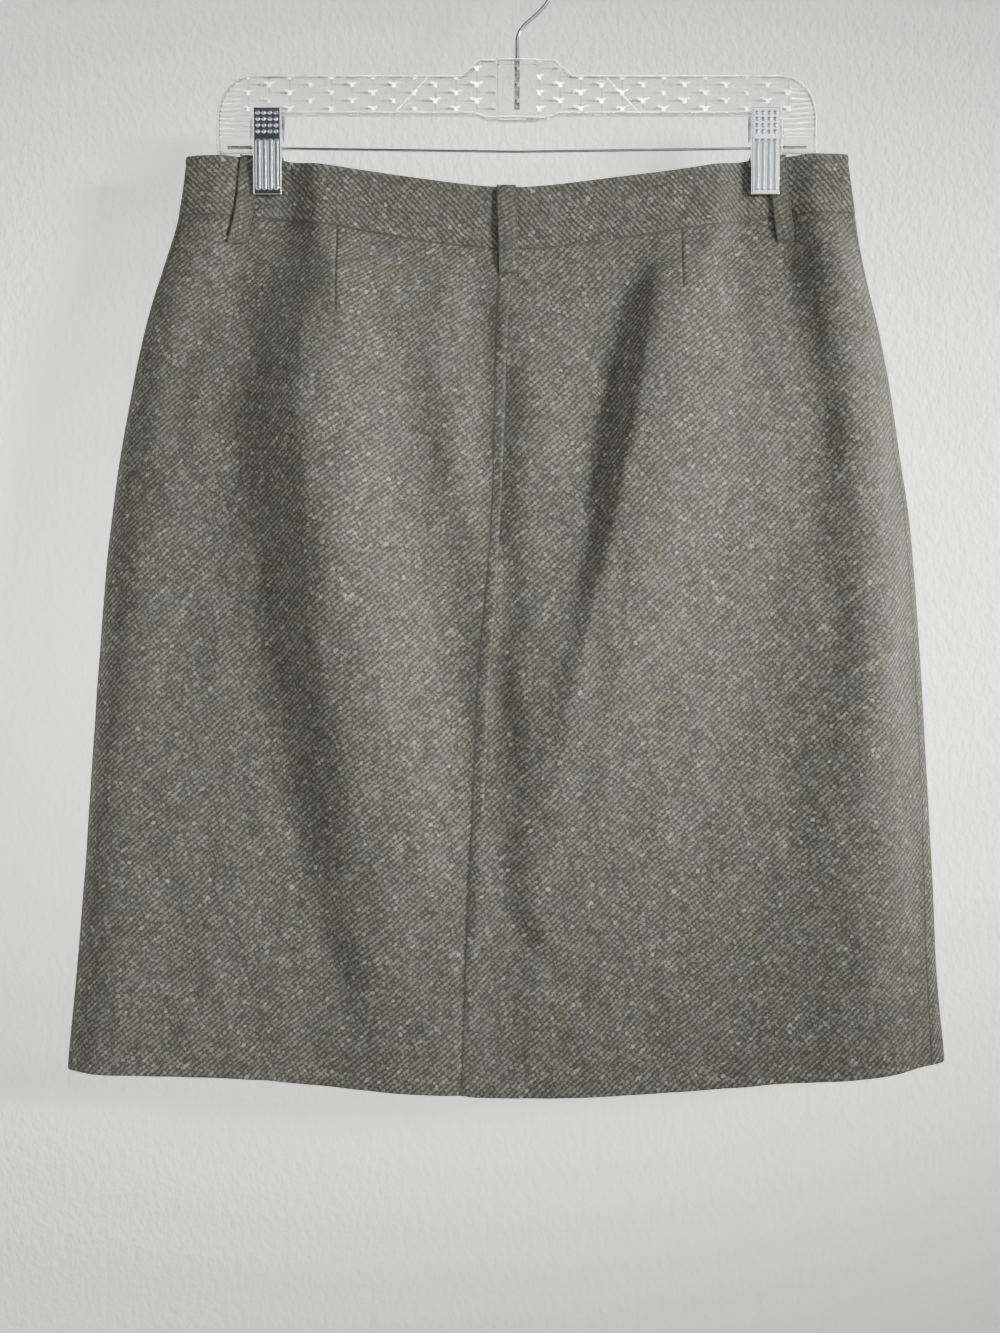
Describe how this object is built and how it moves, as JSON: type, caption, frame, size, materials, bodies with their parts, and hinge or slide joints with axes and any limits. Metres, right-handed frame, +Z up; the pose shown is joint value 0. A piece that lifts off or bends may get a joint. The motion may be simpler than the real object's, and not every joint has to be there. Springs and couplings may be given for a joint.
{
  "type": "pencil skirt on a clip hanger",
  "caption": "Wool twill pencil skirt, back side out, hung by its waistband from a clear plastic hanger with metal clips and a wire hook.",
  "frame": {"origin": "the inner top of the hook, where it sits on a rail", "axes": "+Z up; the skirt's back faces -Y and its front +Y; +X is the wearer's right"},
  "size_m": [0.5178, 0.0797, 0.6758],
  "materials": {
    "wool_twill": "matte wool twill",
    "clear_plastic": "clear, glossy",
    "steel_wire": "bright drawn wire",
    "zinc_plate": "bright stamped plate"
  },
  "bodies": {
    "root": {"back_left": "wool_twill", "back_right": "wool_twill", "front": "wool_twill", "waistband_back": "wool_twill", "waistband_front": "wool_twill", "loop_back_left": "wool_twill", "loop_back_centre": "wool_twill", "loop_back_right": "wool_twill", "loop_front_left": "wool_twill", "loop_front_right": "wool_twill", "hanger_body": "clear_plastic", "hook": "steel_wire", "hanger_wire": "steel_wire", "clip_left_front": "zinc_plate", "clip_left_rear": "zinc_plate", "clip_left_spring": "steel_wire", "clip_right_front": "zinc_plate", "clip_right_rear": "zinc_plate", "clip_right_spring": "steel_wire"}
  },
  "joints": []
}
